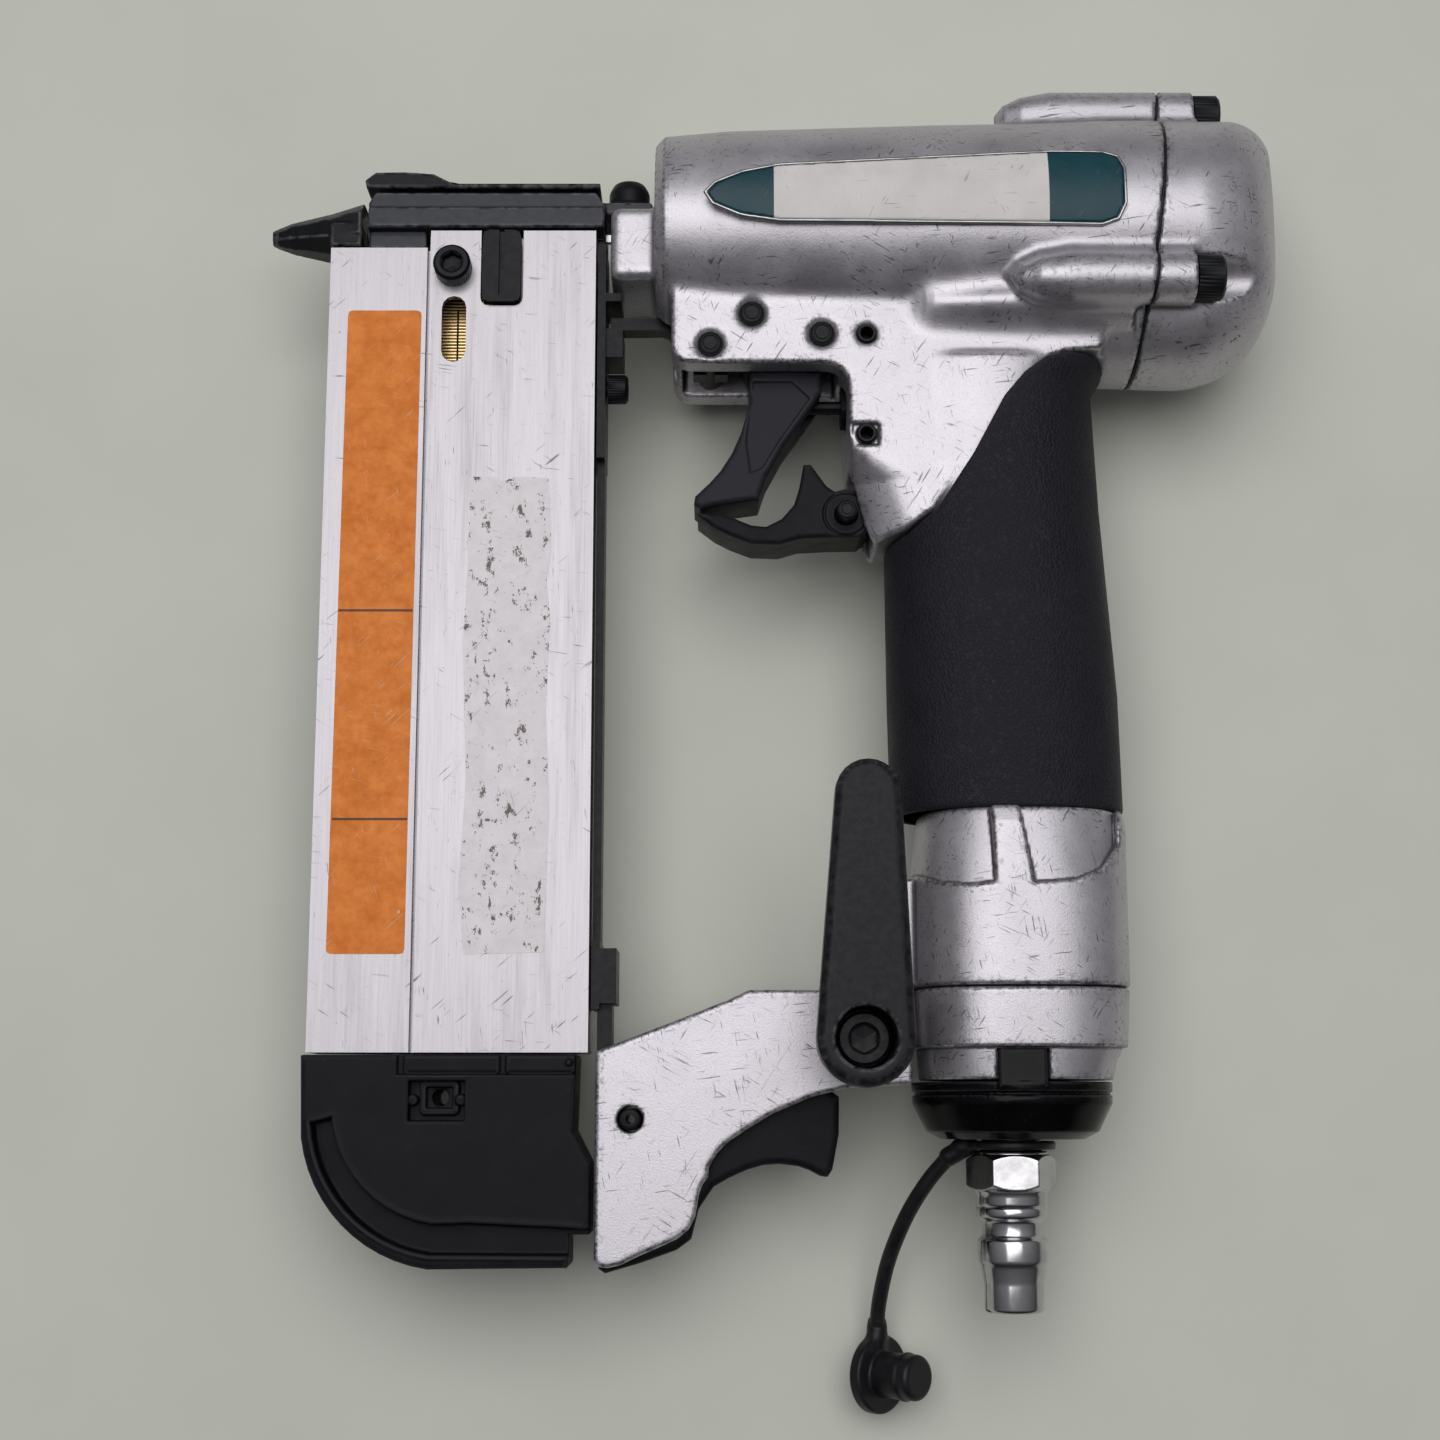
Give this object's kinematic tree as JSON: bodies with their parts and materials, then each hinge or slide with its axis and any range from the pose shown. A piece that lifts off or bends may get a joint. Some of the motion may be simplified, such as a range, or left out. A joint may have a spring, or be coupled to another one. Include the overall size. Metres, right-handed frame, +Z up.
{
  "type": "pneumatic pin nailer",
  "caption": "Compact pneumatic pin nailer: barrel with bolted head cap, pistol grip, trigger with lock lever, flat side-sliding magazine, belt hook and air plug.",
  "frame": {"origin": "on the surface the tool lies on, below the centre of the tool's own box, the dust cap and its strap left out", "axes": "+Z up from the surface, out of the tool's left side; nose tip towards -X; air plug towards -Y, barrel towards +Y"},
  "size_m": [0.1924, 0.2498, 0.0575],
  "materials": {
    "silver_casting": "satin, worn and chipped",
    "brushed_aluminium": "brushed along the magazine",
    "black_steel": "blackened, satin",
    "black_plastic": "satin",
    "grip_rubber": "fine leather grain",
    "seal_rubber": "matte",
    "bright_steel": "bright, lightly worn",
    "brass": "satin",
    "panel_white": "dull gloss, worn",
    "filter_mesh": "fine mesh"
  },
  "bodies": {
    "root": {"body_housing": "silver_casting", "head_cap": "silver_casting", "handle_end_cap": "silver_casting", "magazine_arm": "silver_casting", "magazine_cover": "brushed_aluminium", "cap_bolt_top": "black_steel", "cap_bolt_left": "black_steel", "cap_bolt_right": "black_steel", "driver_guide": "black_steel", "guide_plate": "black_steel", "nose_tip": "black_steel", "nose_bolt": "black_steel", "magazine_screw": "black_steel", "magazine_stop": "black_steel", "magazine_rail": "black_steel", "rail_screw": "black_steel", "trigger_pin": "black_steel", "lockout_pin": "black_steel", "guard_pin": "black_steel", "lock_pin": "black_steel", "latch_pin": "black_steel", "belt_hook": "black_steel", "hook_bolt": "black_steel", "trigger_valve": "black_plastic", "exhaust_deflector": "black_plastic", "rubber_grip": "grip_rubber", "head_gasket": "seal_rubber", "bumper": "seal_rubber", "head_seal": "seal_rubber", "tether_ring": "seal_rubber", "cap_strap": "seal_rubber", "dust_cap": "seal_rubber", "cylinder": "bright_steel", "head_valve_spring": "bright_steel", "valve_spring": "bright_steel", "roll_pin_upper": "bright_steel", "roll_pin_lower": "bright_steel", "air_plug": "bright_steel", "side_panel_left": "panel_white", "side_panel_right": "panel_white", "air_filter": "filter_mesh"},
    "piston": {"piston": "brushed_aluminium", "piston_ring": "seal_rubber", "driver_blade": "bright_steel"},
    "head_valve_body": {"head_valve": "black_plastic"},
    "trigger_body": {"trigger": "black_plastic"},
    "valve_stem_body": {"valve_stem": "brass"},
    "lock_body": {"lock_lever": "black_plastic"},
    "lockout_body": {"lockout_arm": "bright_steel"},
    "magazine_body": {"magazine_slide": "brushed_aluminium", "magazine_end_cap": "black_plastic", "pin_strip": "brass", "pusher_spring": "bright_steel"},
    "pusher_body": {"pusher": "black_plastic"},
    "latch_body": {"latch_lever": "black_plastic"}
  },
  "joints": [
    {"name": "piston_stroke", "type": "slide", "parent": "root", "child": "piston", "axis": [-1, 0, 0], "range_m": [0, 0.045]},
    {"name": "head_valve_lift", "type": "slide", "parent": "root", "child": "head_valve_body", "axis": [1, 0, 0], "range_m": [0, 0.003], "stiffness_N_per_m": 300, "springref_m": -0.004, "deforming": ["head_valve_spring"]},
    {"name": "trigger_pull", "type": "hinge", "parent": "root", "child": "trigger_body", "pos_m": [-0.00395, 0.0657, 0.0245], "axis": [0, 0, 1], "range_deg": [0, 8], "stiffness_Nm_per_rad": 0.3, "springref_deg": -11.46},
    {"name": "valve_stem_push", "type": "slide", "parent": "root", "child": "valve_stem_body", "axis": [1, 0, 0], "range_m": [0, 0.0022], "deforming": ["valve_spring"]},
    {"name": "lock_lever_pull", "type": "hinge", "parent": "root", "child": "lock_body", "pos_m": [0.01355, 0.0291, 0.0245], "axis": [0, 0, 1], "range_deg": [0, 6.5]},
    {"name": "lockout_lift", "type": "hinge", "parent": "root", "child": "lockout_body", "pos_m": [-0.01165, 0.0598, 0.0245], "axis": [0, 0, -1], "range_deg": [0, 3], "stiffness_Nm_per_rad": 0.1, "springref_deg": -11.46},
    {"name": "magazine_pull", "type": "slide", "parent": "root", "child": "magazine_body", "axis": [0, -1, 0], "range_m": [0, 0.108]},
    {"name": "pusher_back", "type": "slide", "parent": "magazine_body", "child": "pusher_body", "axis": [0, -1, 0], "range_m": [0, 0.05], "stiffness_N_per_m": 30, "springref_m": -0.05, "deforming": ["pusher_spring"]},
    {"name": "latch_press", "type": "hinge", "parent": "root", "child": "latch_body", "pos_m": [-0.0257, -0.0814, 0.0245], "axis": [0, 0, 1], "range_deg": [0, 8], "stiffness_Nm_per_rad": 0.3, "springref_deg": -11.46}
  ],
  "couplings": [
    {"joint": "valve_stem_push", "follows": "trigger_pull", "m_per_rad": 0.0142},
    {"joint": "lock_lever_pull", "follows": "trigger_pull", "ratio": 0.75}
  ]
}
